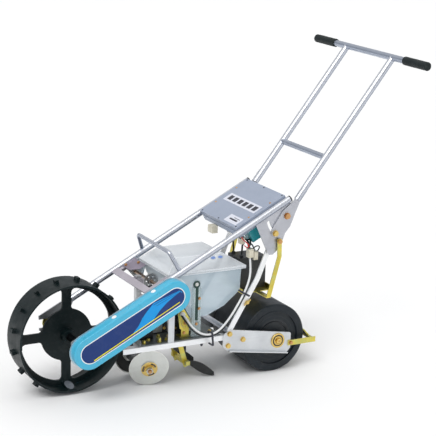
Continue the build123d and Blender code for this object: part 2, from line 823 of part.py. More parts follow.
with BuildPart() as motor_leads:
    for gap, inward, radius in ((0, 0, 3.0), (6.0, 2, 2.6)):
        corners, bends = lead_path(gap, inward)
        with BuildLine() as route:
            FilletPolyline(*corners, radius=bends)
        with BuildSketch(Plane(route.line @ 0, z_dir=route.line % 0)) as section:
            Circle(radius)
        sweep(section.sketch, path=route.line)
save(motor_leads, "motor_leads")

# ==== handle and its hinge ====
CLAMP_R = 60.0
CLAMP_ANGLE = 233.0


def about_pivot(radius, angle):
    """A side view point at a radius and angle about the handle pivot."""
    return (PIVOT_X + radius * cos(radians(angle)), PIVOT_Z + radius * sin(radians(angle)))


with BuildPart() as frame_gussets:
    for side, _ in SIDES:
        plate(
            side,
            118.5,
            3,
            [
                beside_tube(517, 0, -TUBE_R),
                beside_tube(TUBE_END, -3, -TUBE_R),
                (642, 508),
                (630, 465),
                (611, 405),
                (592, 376),
                (580, 366),
                (568, 366),
                (557, 384),
            ],
        )
        round_bar(PIVOT_X, PIVOT_Z, side * 117, side * 123, 5, mode=Mode.SUBTRACT)
        with BuildSketch(side_plane(side * 117)):
            with BuildLine():
                slot_line = CenterArc((PIVOT_X, PIVOT_Z), CLAMP_R, 194, 47)
            SlotArc(slot_line, 8.8)
        extrude(amount=6, dir=(0, side, 0), mode=Mode.SUBTRACT)
save(frame_gussets, "frame_gussets")

UPRIGHT_START = 54.0
UPRIGHT_TAB = 92.0
with BuildPart() as handle_gussets:
    for side, _ in SIDES:
        plate(
            side,
            122,
            3,
            [
                upright_point(UPRIGHT_TAB, TUBE_R),
                upright_point(UPRIGHT_START - 6, TUBE_R),
                (606, 493),
                (571, 441),
                (572, 426),
                (584, 419),
                (601, 418),
                (612, 422),
                (632, 446),
                (648, 486),
                upright_point(UPRIGHT_START, -TUBE_R),
                upright_point(UPRIGHT_TAB, -TUBE_R),
            ],
        )
        round_bar(PIVOT_X, PIVOT_Z, side * 121, side * 126, 5 + FIT, mode=Mode.SUBTRACT)
        round_bar(*about_pivot(CLAMP_R, CLAMP_ANGLE), side * 121, side * 126, 4, mode=Mode.SUBTRACT)
save(handle_gussets, "handle_gussets")

with BuildPart() as pivot_bolts:
    for side, _ in SIDES:
        round_bar(PIVOT_X, PIVOT_Z, side * 113, side * 126, 5)
        hex_head(side, 125.4, PIVOT_X, PIVOT_Z, 15, 5)
save(pivot_bolts, "pivot_bolts")

with BuildPart() as clamp_bolts:
    for side, _ in SIDES:
        clamp_x, clamp_z = about_pivot(CLAMP_R, CLAMP_ANGLE)
        round_bar(clamp_x, clamp_z, side * 112, side * 126, 4)
        round_bar(clamp_x, clamp_z, side * 112, side * 118.1, 8)
        hex_head(side, 125, clamp_x, clamp_z, 14, 5)
save(clamp_bolts, "clamp_bolts")

with BuildPart() as handle_uprights:
    for side, _ in SIDES:
        start_x, start_z = upright_point(UPRIGHT_START)
        straight_tube(
            start_x, side * FRAME_Y, start_z, HANDLE_SLOPE, HANDLE_LENGTH - UPRIGHT_START, TUBE_R, TUBE_BORE
        )
        plate(
            side,
            122,
            3,
            [
                upright_point(UPRIGHT_TAB, TUBE_R + 1),
                upright_point(UPRIGHT_START - 9, TUBE_R + 1),
                upright_point(UPRIGHT_START - 9, -TUBE_R - 1),
                upright_point(UPRIGHT_TAB, -TUBE_R - 1),
            ],
            Mode.SUBTRACT,
        )
    round_bar(*upright_point(HANDLE_LENGTH), -140, 140, TUBE_R, mode=Mode.SUBTRACT)
save(handle_uprights, "handle_uprights")

BRACE_ALONG = 201.0
with BuildPart() as handle_brace:
    round_bar(*upright_point(BRACE_ALONG), -FRAME_Y, FRAME_Y, 8.5, 7)
    for side, _ in SIDES:
        start_x, start_z = upright_point(BRACE_ALONG - 20)
        with BuildSketch(run_plane(start_x, side * FRAME_Y, start_z, HANDLE_SLOPE)):
            Circle(TUBE_R)
        extrude(amount=40, mode=Mode.SUBTRACT)
save(handle_brace, "handle_brace")

with BuildPart() as t_bar:
    round_bar(*upright_point(HANDLE_LENGTH), -TBAR_HALF + 3, TBAR_HALF - 3, TUBE_R, TUBE_BORE)
save(t_bar, "t_bar")

with BuildPart() as handle_grips:
    for side, _ in SIDES:
        end = side * TBAR_HALF
        round_bar(*upright_point(HANDLE_LENGTH), side * (TBAR_HALF - GRIP_LENGTH), end, GRIP_R)
        round_bar(
            *upright_point(HANDLE_LENGTH),
            side * (TBAR_HALF - GRIP_LENGTH - 1),
            end - side * 3,
            TUBE_R,
            mode=Mode.SUBTRACT,
        )
    fillet(handle_grips.edges().filter_by(GeomType.CIRCLE).filter_by(lambda edge: edge.radius > 12), 2.5)
save(handle_grips, "handle_grips")

# ==== rear frame and press roller ====
STRUT_TOP = (571.0, 380.0)
STRUT_BEND = (538.0, 297.0)
STRUT_FOOT = (452.0, 151.0)
with BuildPart() as struts:
    for side, _ in SIDES:
        with BuildSketch(side_plane(side * 109)) as bars:
            for foot, head in ((STRUT_FOOT, STRUT_BEND), (STRUT_BEND, STRUT_TOP)):
                run = Vector(*head) - Vector(*foot)
                with Locations(Vector(*foot) + run * 0.5):
                    SlotCenterToCenter(run.length, 16, rotation=degrees(atan2(run.Y, run.X)))
        extrude(bars.sketch, amount=4, dir=(0, side, 0))
save(struts, "struts")

with BuildPart() as axle_plates:
    for side, _ in SIDES:
        with BuildSketch(side_plane(side * RAIL_Y)) as outline:
            with BuildLine() as edge_line:
                Polyline(
                    (432, 144),
                    (454, 155),
                    (655, 121),
                    (655, 74),
                    (642, 61),
                    (447, 92),
                    (429, 108),
                    close=True,
                )
            make_face(edge_line.edges())
            fillet(outline.vertices(), 6)
            with Locations((ROLLER_X, ROLLER_R)):
                Circle(7, mode=Mode.SUBTRACT)
        extrude(outline.sketch, amount=4, dir=(0, side, 0))
        plate(side, RAIL_Y + 4, 10, [(447, 92), (642, 61), (642, 64), (447, 95)])
save(axle_plates, "axle_plates")

CORE_R = 56.0
BEAD_R = 80.0
with BuildPart() as roller_tyre:
    round_bar(ROLLER_X, ROLLER_R, -ROLLER_HALF, ROLLER_HALF, ROLLER_R, CORE_R)
    fillet(roller_tyre.edges().filter_by(GeomType.CIRCLE).filter_by(lambda edge: edge.radius > 100), 5)
    for side, _ in SIDES:
        end = side * ROLLER_HALF
        round_bar(ROLLER_X, ROLLER_R, end - side, end + side * 1.5, BEAD_R + 1.5, BEAD_R - 1.5)
        round_bar(ROLLER_X, ROLLER_R, end - side * 3, end + side * 2, BEAD_R - 1.5, CORE_R - 1, Mode.SUBTRACT)
    round_bar(ROLLER_X, ROLLER_R, -ROLLER_HALF + 10, ROLLER_HALF - 10, ROLLER_R - 8, mode=Mode.SUBTRACT)
save(roller_tyre, "roller_tyre")

with BuildPart() as roller_core:
    round_bar(ROLLER_X, ROLLER_R, -ROLLER_HALF + 3.5, ROLLER_HALF - 3.5, CORE_R, CORE_R - 4)
    for side, _ in SIDES:
        round_bar(ROLLER_X, ROLLER_R, side * 86, side * 89, CORE_R - 3)
        round_bar(ROLLER_X, ROLLER_R, side * 88, side * 92, 24)
    round_bar(ROLLER_X, ROLLER_R, -88, 88, 15)
    round_bar(ROLLER_X, ROLLER_R, -94, 94, 7 + FIT, mode=Mode.SUBTRACT)
save(roller_core, "roller_core")

with BuildPart() as roller_axle:
    round_bar(ROLLER_X, ROLLER_R, -126, 126, 7)
    for side, _ in SIDES:
        round_bar(ROLLER_X, ROLLER_R, side * 92.4, side * RAIL_Y, 11)
        hex_head(side, RAIL_Y + 4, ROLLER_X, ROLLER_R, 15, 6, 2.5)
save(roller_axle, "roller_axle")

with BuildPart() as roller_scraper:
    across(90, [(714.5, 112), (717, 114), (735, 95), (732, 92)])
    across(117, [(731, 85), (739, 85), (739, 92), (731, 92)])
    for side, _ in SIDES:
        plate(side, RAIL_Y + 4.1, 3, [(646, 82), (739, 82), (739, 98), (646, 98)])
save(roller_scraper, "roller_scraper")

# ==== opener discs, covering blades ====
DISC_X = 222.0
DISC_Y = 66.0
DISC_Z = 57.0
DISC_TILT = (-0.27, 0.93, -0.23)

for side, hand in SIDES:
    disc_plane = Plane(
        origin=(AXLE_X + DISC_X, side * DISC_Y, DISC_Z),
        z_dir=(DISC_TILT[0], side * DISC_TILT[1], DISC_TILT[2]),
    )
    with BuildPart(disc_plane) as opener_disc:
        Cone(DISC_R, 20, 5, align=(Align.CENTER, Align.CENTER, Align.MIN))
        with Locations((0, 0, -2)):
            Cone(DISC_R, 20, 5, align=(Align.CENTER, Align.CENTER, Align.MIN), mode=Mode.SUBTRACT)
        Cylinder(20, 5, align=(Align.CENTER, Align.CENTER, Align.MIN))
        with Locations((0, 0, 5)):
            Cylinder(24, 2.5, align=(Align.CENTER, Align.CENTER, Align.MIN))
            Cylinder(13, 8, align=(Align.CENTER, Align.CENTER, Align.MIN))
        with Locations((0, 0, -4)):
            Cylinder(11, 6, align=(Align.CENTER, Align.CENTER, Align.MIN))
        with Locations((0, 0, -10)):
            Cylinder(6 + FIT, 30, align=(Align.CENTER, Align.CENTER, Align.MIN), mode=Mode.SUBTRACT)
    save(opener_disc, f"opener_disc_{hand}")

ARM_Y = 46.0
with BuildPart() as opener_post:
    with BuildSketch(Plane.XY.offset(50)):
        with Locations((AXLE_X + POST_X, 0)):
            Rectangle(2 * POST_HALF, 2 * POST_HALF)
    extrude(amount=262)
    with BuildSketch(Plane.XY.offset(50)):
        with Locations((AXLE_X + POST_X + 3, 0)):
            Rectangle(22, 2 * ARM_Y + 12)
    extrude(amount=16)
    for side, _ in SIDES:
        stub_plane = Plane(
            origin=(AXLE_X + DISC_X, side * DISC_Y, DISC_Z),
            z_dir=(DISC_TILT[0], side * DISC_TILT[1], DISC_TILT[2]),
        )
        with BuildSketch(stub_plane.offset(-19)):
            Circle(6)
        extrude(amount=33)
        with BuildSketch(stub_plane.offset(13.4)):
            RegularPolygon(9, 6, major_radius=False)
        extrude(amount=5)
save(opener_post, "opener_post")

YOKE_X = 334.0
YOKE_Z = 118.0
with BuildPart() as cover_yoke:
    across(48, [(349, 38), (362, 38), (362, 50), (349, 50)])
    for side, _ in SIDES:
        plate(
            side,
            28,
            4,
            [(329, 124), (339, 124), (342, 106), (360, 50), (361, 30), (352, 28), (346, 44), (329, 104)],
        )
        round_bar(YOKE_X, YOKE_Z, side * 26, side * 34, 4 + FIT, mode=Mode.SUBTRACT)
save(cover_yoke, "cover_yoke")

with BuildPart() as yoke_pivot:
    round_bar(YOKE_X, YOKE_Z, -40, 40, 4)
    for side, _ in SIDES:
        plate(side, 35, 4, [(324, RAIL_TOP), (344, RAIL_TOP), (344, 112), (324, 112)])
save(yoke_pivot, "yoke_pivot")

with BuildPart() as cover_blades:
    for side, _ in SIDES:
        blade_plane = Plane(
            origin=(AXLE_X + 363.2, side * 42, 0),
            x_dir=(0.94, side * 0.341, 0),
            z_dir=(side * 0.341, -0.94, 0),
        )
        with BuildSketch(blade_plane) as blade:
            with BuildLine() as edge_line:
                Spline((0, 50), (18, 49), (46, 36), (72, 15))
                Line((72, 15), (73, 5))
                Spline((73, 5), (54, 6), (24, 20), (0, 38))
                Line((0, 38), (0, 50))
            make_face(edge_line.edges())
        extrude(blade.sketch, amount=3)
save(cover_blades, "cover_blades")

# ==== fasteners ====
with BuildPart() as frame_bolts:
    for side, _ in SIDES:
        for x, z in ((451, 143), (447, 108), (495, 121)):
            hex_head(side, RAIL_Y + 4, x, z, 12, 4)
        round_bar(597, 405, side * 121.5, side * 128.2, 4)
        hex_head(side, 128.1, 597, 405, 13, 4)
        round_bar(STRUT_TOP[0] + 2, STRUT_TOP[1] - 4, side * 113, side * 118.5, 4)
save(frame_bolts, "frame_bolts")
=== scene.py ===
import json
import math

import bmesh
import bpy
from mathutils import Matrix, Vector


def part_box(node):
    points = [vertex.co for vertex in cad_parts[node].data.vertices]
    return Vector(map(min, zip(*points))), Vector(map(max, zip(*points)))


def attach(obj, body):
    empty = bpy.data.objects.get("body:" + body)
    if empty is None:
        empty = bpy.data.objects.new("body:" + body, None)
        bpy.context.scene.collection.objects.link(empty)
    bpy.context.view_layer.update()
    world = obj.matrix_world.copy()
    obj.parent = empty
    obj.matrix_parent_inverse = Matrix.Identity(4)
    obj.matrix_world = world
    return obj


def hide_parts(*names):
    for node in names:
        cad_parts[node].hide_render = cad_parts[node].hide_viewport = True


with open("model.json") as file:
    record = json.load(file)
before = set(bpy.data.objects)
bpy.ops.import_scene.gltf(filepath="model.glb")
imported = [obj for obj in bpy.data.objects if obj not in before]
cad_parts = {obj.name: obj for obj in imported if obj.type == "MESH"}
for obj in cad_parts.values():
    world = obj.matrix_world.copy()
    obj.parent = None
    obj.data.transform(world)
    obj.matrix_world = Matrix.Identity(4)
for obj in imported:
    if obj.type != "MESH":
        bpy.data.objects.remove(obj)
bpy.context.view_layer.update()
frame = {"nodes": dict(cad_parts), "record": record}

scene = bpy.context.scene
MM = 0.001


def middle(node):
    """The middle of a CAD node's box."""
    low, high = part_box(node)
    return (Vector(low) + Vector(high)) / 2


AXLE = middle("front_axle")
SHAFT = middle("meter_shaft")
AX = AXLE.x


# ---------------------------------------------------------------- materials
class Nodes:
    """A small helper for one material's node tree."""

    def __init__(self, name):
        self.mat = bpy.data.materials.new(name)
        self.mat.use_nodes = True
        self.tree = self.mat.node_tree
        self.tree.nodes.clear()
        self.out = self.add("ShaderNodeOutputMaterial")
        self.bsdf = self.add("ShaderNodeBsdfPrincipled")
        self.link(self.bsdf.outputs[0], self.out.inputs[0])
        self.coords = self.add("ShaderNodeTexCoord").outputs["Object"]

    def add(self, kind, **props):
        node = self.tree.nodes.new(kind)
        for key, value in props.items():
            setattr(node, key, value)
        return node

    def link(self, a, b):
        self.tree.links.new(a, b)

    def set(self, **values):
        for key, value in values.items():
            self.bsdf.inputs[key.replace("_", " ")].default_value = value

    def mapped(self, scale):
        """Object coordinates, stretched."""
        node = self.add("ShaderNodeMapping")
        node.inputs["Scale"].default_value = scale
        self.link(self.coords, node.inputs[0])
        return node.outputs[0]

    def noise(self, scale, detail=3.0, rough=0.55, vector=None):
        node = self.add("ShaderNodeTexNoise")
        node.inputs["Scale"].default_value = scale
        node.inputs["Detail"].default_value = detail
        node.inputs["Roughness"].default_value = rough
        self.link(vector if vector is not None else self.coords, node.inputs["Vector"])
        return node.outputs[0]

    def span(self, value, low, high, a=0.3, b=0.7):
        """Map a to b onto low to high, held at both ends."""
        node = self.add("ShaderNodeMapRange")
        node.inputs["From Min"].default_value = a
        node.inputs["From Max"].default_value = b
        node.inputs["To Min"].default_value = low
        node.inputs["To Max"].default_value = high
        self.link(value, node.inputs["Value"])
        return node.outputs[0]

    def mix(self, factor, a, b):
        """Colour a where the factor is 0 and colour b where it is 1."""
        node = self.add("ShaderNodeMix", data_type="RGBA")
        if isinstance(factor, (int, float)):
            node.inputs[0].default_value = factor
        else:
            self.link(factor, node.inputs[0])
        for slot, value in ((6, a), (7, b)):
            if isinstance(value, (tuple, list)):
                node.inputs[slot].default_value = (*value, 1.0)
            else:
                self.link(value, node.inputs[slot])
        return node.outputs[2]

    def math(self, op, a, b=0.0):
        node = self.add("ShaderNodeMath", operation=op)
        for slot, value in enumerate((a, b)):
            if isinstance(value, (int, float)):
                node.inputs[slot].default_value = value
            else:
                self.link(value, node.inputs[slot])
        return node.outputs[0]

    def edges(self, radius):
        """0 on flats, rising to 1 at worn edges."""
        bevel = self.add("ShaderNodeBevel", samples=4)
        bevel.inputs["Radius"].default_value = radius
        true = self.add("ShaderNodeNewGeometry")
        dot = self.add("ShaderNodeVectorMath", operation="DOT_PRODUCT")
        self.link(bevel.outputs[0], dot.inputs[0])
        self.link(true.outputs["Normal"], dot.inputs[1])
        return self.span(dot.outputs["Value"], 1.0, 0.0, 0.86, 0.985)

    def underside_shade_mask(self):
        """Painted shade mask: 1 where the surface faces down, falling to 0 where it faces up."""
        split = self.add("ShaderNodeSeparateXYZ")
        self.link(self.add("ShaderNodeNewGeometry").outputs["Normal"], split.inputs[0])
        return self.span(split.outputs["Z"], 1.0, 0.0, -0.30, 0.12)

    def color(self, value):
        self.link(value, self.bsdf.inputs["Base Color"])

    def rough(self, value):
        self.link(value, self.bsdf.inputs["Roughness"])

    def bump(self, height, strength, distance):
        node = self.add("ShaderNodeBump")
        node.inputs["Strength"].default_value = strength
        node.inputs["Distance"].default_value = distance
        self.link(height, node.inputs["Height"])
        self.link(node.outputs[0], self.bsdf.inputs["Normal"])


def shade(color, k):
    return tuple(min(1.0, c * k) for c in color)


def metal(
    name,
    color,
    rough=0.3,
    brushed=(1, 1, 1),
    spread=0.12,
    worn=None,
    scratches=0.35,
    bump=0.12,
    stain=None,
    underside_shade=None,
):
    """Plated or bare metal: cloudy tone, fine directional scratches and worn edges, with painted shade on the
    undersides when an underside colour is given.
    """
    n = Nodes(name)
    clouds = n.noise(14, 4)
    base = n.mix(n.span(clouds, 0, 1), shade(color, 1 - spread), shade(color, 1 + spread))
    if stain is not None:
        base = n.mix(n.span(n.noise(38, 5, 0.7), 0, 0.8, 0.45, 0.7), base, stain)
    scratch = n.noise(160, 2, 0.7, n.mapped(brushed))
    base = n.mix(n.span(scratch, 0.0, scratches, 0.5, 0.8), base, shade(color, 0.72))
    if worn is not None:
        base = n.mix(n.edges(0.0012), base, worn)
    # Painted shade: faces that point down are darkened towards the underside colour.
    if underside_shade is not None:
        base = n.mix(n.underside_shade_mask(), base, underside_shade)
    n.color(base)
    n.set(Metallic=1.0)
    n.rough(n.span(n.noise(46, 5), rough - 0.07, rough + 0.12))
    n.bump(scratch, bump, 0.0004)
    return n.mat


def plastic(
    name, color, rough=0.42, grain=900, strength=0.18, spread=0.12, worn=None, coat=0.0, specular=0.5
):
    """Moulded plastic or enamel: faint mottling, fine grain and rubbed edges."""
    n = Nodes(name)
    base = n.mix(n.span(n.noise(9, 4), 0, 1), shade(color, 1 - spread), shade(color, 1 + spread))
    dust = n.noise(60, 6, 0.65)
    base = n.mix(n.span(dust, 0.0, 0.03, 0.5, 0.75), base, (0.42, 0.41, 0.39))
    if worn is not None:
        base = n.mix(n.edges(0.0013), base, worn)
    n.color(base)
    n.set(Coat_Weight=coat, Specular_IOR_Level=specular)
    n.rough(n.span(n.noise(35, 5), rough - 0.06, rough + 0.12))
    n.bump(n.noise(grain, 2), strength, 0.0003)
    return n.mat


def clear(name, tint, low, high, rough=0.26):
    """Translucent moulding: milky body, faint flow marks, denser towards its edges."""
    n = Nodes(name)
    flow = n.noise(7, 5, 0.6, n.mapped((1, 1, 3)))
    n.color(n.mix(n.span(flow, 0, 1), shade(tint, 0.94), tint))
    n.set(IOR=1.4)
    n.rough(n.span(flow, rough, rough + 0.12))
    rim = n.math("ADD", n.math("MULTIPLY", flow, 0.25), n.edges(0.004))
    n.link(n.span(rim, low, high, 0.05, 1.1), n.bsdf.inputs["Alpha"])
    n.bump(n.noise(220, 3), 0.08, 0.0003)
    return n.mat


ALONG_Y = (1, 0.03, 1)
ALONG_X = (0.03, 1, 1)
ALONG_TUBE = (0.05, 1, 0.05)
MATERIALS = {
    "wheel_moulding": plastic(
        "wheel_moulding", (0.002, 0.008, 0.009), 0.42, 500, 0.2, 0.2, (0.02, 0.035, 0.04), 0, 0.25
    ),
    "zinc_steel": metal("zinc_steel", (0.58, 0.59, 0.60), 0.34, ALONG_Y),
    "bright_steel": metal("bright_steel", (0.66, 0.67, 0.68), 0.22, ALONG_Y, 0.06),
    "zinc_plate": metal("zinc_plate", (0.66, 0.68, 0.70), 0.40, ALONG_X, 0.08, (0.82, 0.83, 0.84), 0.2),
    # The last colour is painted shade for the tube's undersides.
    "frame_tube": metal(
        "frame_tube", (0.66, 0.68, 0.73), 0.31, ALONG_TUBE, 0.03, None, 0.08, 0.0, None, (0.30, 0.33, 0.40)
    ),
    "black_cap": plastic("black_cap", (0.012, 0.012, 0.013), 0.5),
    "rail_steel": metal("rail_steel", (0.93, 0.94, 0.95), 0.5, ALONG_X, 0.03, (0.95, 0.96, 0.97), 0.08),
    "blue_cover": plastic("blue_cover", (0.050, 0.43, 0.64), 0.30, 700, 0.08, 0.05, (0.24, 0.64, 0.80), 0.25),
    "sprocket_steel": metal("sprocket_steel", (0.36, 0.37, 0.38), 0.4),
    "chain_steel": metal("chain_steel", (0.20, 0.20, 0.21), 0.42),
    "white_bush": plastic("white_bush", (0.74, 0.74, 0.70), 0.4),
    "black_part": plastic("black_part", (0.012, 0.014, 0.015), 0.45),
    "grey_tube": metal("grey_tube", (0.40, 0.44, 0.52), 0.32, ALONG_Y, 0.05, None, 0.10, 0.02),
    "milky_hopper": clear("milky_hopper", (0.62, 0.73, 0.80), 0.42, 0.90),
    "milky_lid": clear("milky_lid", (0.86, 0.89, 0.92), 0.40, 0.90),
    "clear_guide": clear("clear_guide", (0.62, 0.74, 0.76), 0.30, 0.85, 0.12),
    "dark_green_strip": plastic("dark_green_strip", (0.008, 0.045, 0.035), 0.4),
    "brass_gear": metal("brass_gear", (0.66, 0.48, 0.20), 0.3),
    "gold_zinc": metal(
        "gold_zinc",
        (0.68, 0.56, 0.11),
        0.34,
        (1, 1, 0.05),
        0.16,
        worn=(0.84, 0.74, 0.36),
        scratches=0.25,
        bump=0.1,
        stain=(0.48, 0.58, 0.24),
    ),
    "motor_can": metal("motor_can", (0.42, 0.42, 0.43), 0.35, ALONG_Y),
    "lavender_box": plastic(
        "lavender_box", (0.30, 0.345, 0.44), 0.40, 420, 0.2, 0.05, (0.44, 0.48, 0.56), 0.1
    ),
    "teal_block": plastic("teal_block", (0.006, 0.30, 0.34), 0.32, 700, 0.15, 0.08, None, 0.3),
    "battery_black": plastic("battery_black", (0.010, 0.012, 0.014), 0.4, 600, 0.2),
    "cream_connector": plastic("cream_connector", (0.66, 0.62, 0.50), 0.4),
    "lead_white": plastic("lead_white", (0.74, 0.75, 0.75), 0.4, 600, 0.1, 0.05),
    "gusset_plate": metal(
        "gusset_plate", (0.51, 0.52, 0.56), 0.44, (0.05, 1, 0.4), 0.07, (0.74, 0.75, 0.77), 0.2
    ),
    "copper_bolt": metal("copper_bolt", (0.60, 0.33, 0.14), 0.32),
    "gold_bolt": metal("gold_bolt", (0.74, 0.54, 0.18), 0.3),
    "grip_rubber": plastic("grip_rubber", (0.004, 0.010, 0.011), 0.55, 300, 0.4, 0.12, None, 0, 0.3),
    "roller_rubber": plastic("roller_rubber", (0.007, 0.012, 0.017), 0.42, 260, 0.2, 0.2, None, 0, 0.35),
    "roller_core": plastic("roller_core", (0.011, 0.015, 0.019), 0.4),
    "disc_steel": metal("disc_steel", (0.68, 0.69, 0.66), 0.46, (1, 1, 1), 0.06, (0.8, 0.8, 0.76), 0.15),
    "blade_black": plastic("blade_black", (0.008, 0.009, 0.009), 0.36, 500, 0.2, 0.2, (0.08, 0.08, 0.08)),
}
TRIMS = {
    "decal_white": plastic("decal_white", (0.82, 0.84, 0.84), 0.34, 900, 0.05, 0.03),
    "decal_navy": plastic("decal_navy", (0.008, 0.035, 0.17), 0.34, 900, 0.05, 0.06, None, 0, 0.3),
    "decal_sky": plastic("decal_sky", (0.004, 0.30, 0.72), 0.34, 900, 0.05, 0.05, None, 0, 0.3),
    "decal_yellow": plastic("decal_yellow", (0.90, 0.80, 0.004), 0.34, 900, 0.05, 0.03, None, 0, 0.3),
    "label_white": plastic("label_white", (0.66, 0.68, 0.76), 0.36, 900, 0.05, 0.03),
    "ink": plastic("ink", (0.020, 0.022, 0.035), 0.4, 900, 0.05, 0.1),
    "lead_black": plastic("lead_black", (0.008, 0.012, 0.013), 0.38, 600, 0.1),
    "wire_red": plastic("wire_red", (0.62, 0.020, 0.018), 0.38, 600, 0.1),
    "wire_grey": plastic("wire_grey", (0.20, 0.21, 0.22), 0.40, 600, 0.1),
    # Light grey painted highlight for the spoke foot on the front wheel's rim.
    "spoke_foot_highlight": plastic("spoke_foot_highlight", (0.115, 0.13, 0.15), 0.5, 500, 0.2, 0.15),
    "scraper_rubber": plastic("scraper_rubber", (0.012, 0.012, 0.012), 0.6, 300, 0.4),
    "mark_blue": plastic("mark_blue", (0.18, 0.28, 0.58), 0.4, 900, 0.05),
    "rusty_shaft": metal(
        "rusty_shaft", (0.46, 0.36, 0.28), 0.4, ALONG_Y, 0.1, None, 0.3, 0.1, (0.38, 0.19, 0.10)
    ),
    # The last colour is painted shade for the rail's undersides.
    "rail_tube": metal(
        "rail_tube", (0.55, 0.58, 0.65), 0.28, ALONG_TUBE, 0.03, None, 0.08, 0, None, (0.28, 0.31, 0.38)
    ),
    "black_oxide": metal("black_oxide", (0.035, 0.040, 0.044), 0.38, ALONG_Y, 0.15),
    "dull_plate": metal("dull_plate", (0.20, 0.22, 0.22), 0.42, ALONG_X, 0.2, (0.5, 0.5, 0.5), 0.3),
    "mauve_dark": metal("mauve_dark", (0.34, 0.30, 0.37), 0.46, ALONG_Y, 0.2, (0.6, 0.56, 0.62), 0.3),
    "disc_shadow": plastic("disc_shadow", (0.022, 0.022, 0.022), 0.55, 300, 0.3, 0.2),
    "mauve_frame": metal("mauve_frame", (0.60, 0.56, 0.62), 0.42, ALONG_Y, 0.08, (0.78, 0.76, 0.80), 0.2),
}
SLOT = {entry["node"]: entry["material_slot"] for entry in frame["record"]["subparts"]}
FINISH_OF = {
    "grab_rail": TRIMS["rail_tube"],
    "seeding_frame": TRIMS["mauve_frame"],
    "meter_shaft": TRIMS["rusty_shaft"],
    "axle_fittings": TRIMS["black_oxide"],
    "base_plate": TRIMS["dull_plate"],
}
for node_name, node in frame["nodes"].items():
    node.data.materials.clear()
    node.data.materials.append(FINISH_OF.get(node_name) or MATERIALS[SLOT[node_name]])


# ---------------------------------------------------------------- mesh tools
class Place:
    """A flat working plane in millimetres: a and b lie on it and c stands off it."""

    def __init__(self, origin, u, v):
        self.origin = Vector(origin)
        self.u = Vector(u).normalized()
        self.v = Vector(v).normalized()
        self.n = self.u.cross(self.v)

    def __call__(self, a, b, c=0.0):
        return self.origin + (self.u * a + self.v * b + self.n * c) * MM


def prism(bm, place, outline, low, high, soften=0.0):
    """A closed plate with the outline given, between two heights off the plane."""
    base = [bm.verts.new(place(a, b, low)) for a, b in outline]
    top = [bm.verts.new(place(a, b, high)) for a, b in outline]
    lid = bm.faces.new(top)
    bm.faces.new(reversed(base))
    for k in range(len(base)):
        j = (k + 1) % len(base)
        bm.faces.new((base[k], base[j], top[j], top[k]))
    if soften:
        rim = list(lid.edges)
        bmesh.ops.bevel(bm, geom=rim, offset=soften * MM, segments=2, affect="EDGES", profile=0.5)


def turned(bm, place, a, b, profile, sides=32, hoop=False):
    """Turn (radius, height) points about the plane's normal through a, b."""
    angles = [2 * math.pi * k / sides for k in range(sides)]
    rings = []
    for radius, height in profile:
        if radius == 0:
            rings.append([bm.verts.new(place(a, b, height))])
        else:
            ring = [(a + radius * math.cos(t), b + radius * math.sin(t)) for t in angles]
            rings.append([bm.verts.new(place(x, y, height)) for x, y in ring])
    pairs = list(zip(rings, rings[1:]))
    if hoop:
        pairs.append((rings[-1], rings[0]))
    for low, high in pairs:
        for k in range(sides):
            j = (k + 1) % sides
            corners = [low[k % len(low)], low[j % len(low)], high[j % len(high)], high[k % len(high)]]
            # A point on the axis is repeated here, and is kept once.
            bm.faces.new(list(dict.fromkeys(corners)))


def bolt_head(bm, place, a, b, c, flats, height, washer=1.35):
    """A chamfered hexagon head on its washer."""
    r = flats / 2 * 1.155
    turned(bm, place, a, b, [(0, c), (flats / 2 * washer, c), (flats / 2 * washer, c + 0.8), (0, c + 0.9)])
    top = c + height
    head = [(0, c + 0.8), (r, c + 0.8), (r, c + height * 0.75), (r * 0.86, top), (0, top)]
    turned(bm, place, a, b, head, 6)


def dome_head(bm, place, a, b, c, radius, height):
    """A round screw head."""
    steps = [(radius * math.cos(t), c + height * math.sin(t)) for t in (0, 0.35, 0.7, 1.05, 1.35)]
    turned(bm, place, a, b, [(0, c - 0.3), (radius, c - 0.3)] + steps + [(0, c + height)], 20)


def obround(length, radius, steps=16):
    """An outline with round ends, its end centres length apart."""
    half = [math.pi * k / steps - math.pi / 2 for k in range(steps + 1)]
    far = [(length + radius * math.cos(t), radius * math.sin(t)) for t in half]
    near = [(-radius * math.cos(t), -radius * math.sin(t)) for t in half]
    return far + near


def rounded(a0, a1, b0, b1, r=2.0):
    """A rectangle's outline with round corners."""
    points = []
    corners = [(a1 - r, b1 - r), (a0 + r, b1 - r), (a0 + r, b0 + r), (a1 - r, b0 + r)]
    for corner, (a, b) in enumerate(corners):
        for k in range(4):
            t = math.radians(90 * corner + 30 * k)
            points.append((a + r * math.cos(t), b + r * math.sin(t)))
    return points


def piece(name, bm, mat, body):
    """Make an object of a mesh and tie it to its body."""
    bmesh.ops.recalc_face_normals(bm, faces=bm.faces)
    mesh = bpy.data.meshes.new(name)
    bm.to_mesh(mesh)
    bm.free()
    obj = bpy.data.objects.new(name, mesh)
    bpy.context.collection.objects.link(obj)
    mesh.materials.append(mat)
    for poly in mesh.polygons:
        poly.use_smooth = True
    mesh.set_sharp_from_angle(angle=math.radians(35))
    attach(obj, body)
    return obj


def wire(name, points, radius, mat, body):
    """A lead: one smooth spline with the points given as its control points."""
    curve = bpy.data.curves.new(name, "CURVE")
    curve.dimensions = "3D"
    curve.bevel_depth = radius * MM
    curve.bevel_resolution = 3
    curve.use_fill_caps = True
    spline = curve.splines.new("NURBS")
    spline.points.add(len(points) - 1)
    for point, (x, y, z) in zip(spline.points, points):
        point.co = (AX + x * MM, y * MM, z * MM, 1)
    spline.order_u = 3
    spline.use_endpoint_u = True
    obj = bpy.data.objects.new(name, curve)
    bpy.context.collection.objects.link(obj)
    curve.materials.append(mat)
    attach(obj, body)
    return obj


# Side views: a is x from the front axle, b is z, and c is how far out from the middle plane.
LEFT = Place((AX, 0, 0), (1, 0, 0), (0, 0, 1))
RIGHT = Place((AX, 0, 0), (1, 0, 0), (0, 0, -1))

